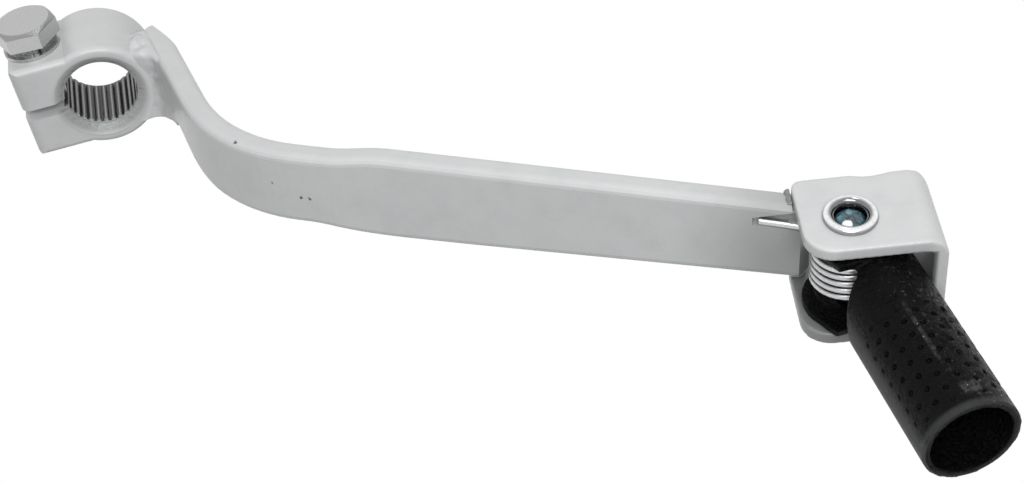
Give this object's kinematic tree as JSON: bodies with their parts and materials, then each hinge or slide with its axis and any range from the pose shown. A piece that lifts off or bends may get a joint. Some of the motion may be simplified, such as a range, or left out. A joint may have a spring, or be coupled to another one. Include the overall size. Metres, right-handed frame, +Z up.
{
  "type": "folding gear lever",
  "caption": "Foot gear lever with a splined clamp hub, a bent flat arm and a spring-loaded folding toe peg in a clevis.",
  "frame": {"origin": "centre of the splined bore", "axes": "+Y along the bore to the bike's side, +X along the arm to the toe peg, +Z up to the clamp bolt's head"},
  "size_m": [0.1406, 0.138, 0.0274],
  "materials": {
    "silver_paint": "satin silver-grey powder coat",
    "black_coat": "gloss black coating",
    "plated_steel": "bright zinc plating",
    "chrome": "polished",
    "spring_steel": "bare drawn wire",
    "thread_lock": "clear glossy blue"
  },
  "bodies": {
    "lever": {"hub": "silver_paint", "arm": "silver_paint", "hub_weld_top": "silver_paint", "hub_weld_front": "silver_paint", "hub_weld_back": "silver_paint", "clevis": "silver_paint", "clevis_weld_top": "silver_paint", "clevis_weld_bottom": "silver_paint", "clamp_bolt": "plated_steel", "spring_washer": "plated_steel", "flat_washer": "plated_steel", "return_spring": "spring_steel", "pivot_barrel": "chrome", "pivot_screw": "plated_steel", "thread_lock": "thread_lock"},
    "peg": {"toe_peg": "black_coat"}
  },
  "joints": [
    {"name": "peg_fold", "type": "hinge", "parent": "lever", "child": "peg", "pos_m": [0.1094, -0.0929, 0.009], "axis": [-0.0131, -0.0827, 0.9965], "range_deg": [-92, 0], "stiffness_Nm_per_rad": 0.083, "springref_deg": 34.38, "deforming": ["return_spring"]}
  ]
}
